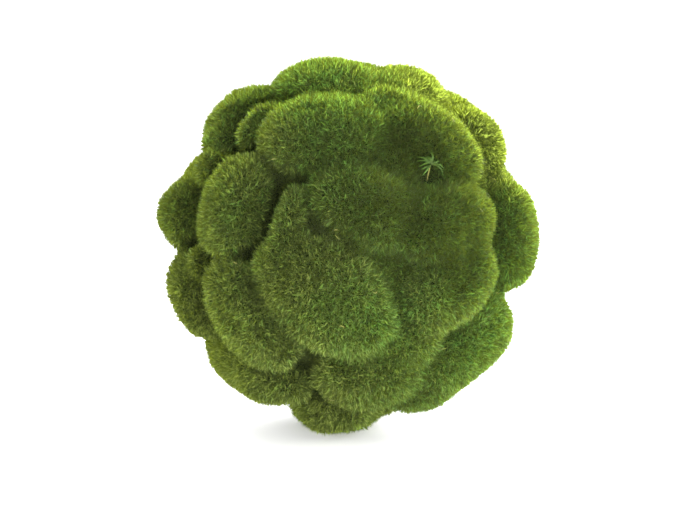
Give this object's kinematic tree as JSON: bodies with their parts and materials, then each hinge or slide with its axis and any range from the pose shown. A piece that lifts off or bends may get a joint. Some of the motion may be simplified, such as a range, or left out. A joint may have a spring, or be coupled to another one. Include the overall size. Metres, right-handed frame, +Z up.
{
  "type": "moss clump",
  "caption": "Free-standing rounded clump of dense green cushion moss, grown into overlapping soft mounds parted by deep creases, with a small flat foot to rest on.",
  "frame": {"origin": "on the surface that the clump stands on, under the middle of the clump's bounding box", "axes": "+Z up; the broad upper mound and the front that shows most faces -Y; +X is to the right of someone who looks at that front"},
  "size_m": [0.2, 0.2004, 0.1974],
  "materials": {
    "moss": "dense short green moss shoots, fully matt, darker at the root and lighter at the tip"
  },
  "bodies": {
    "root": {"moss_clump": "moss"}
  },
  "joints": []
}
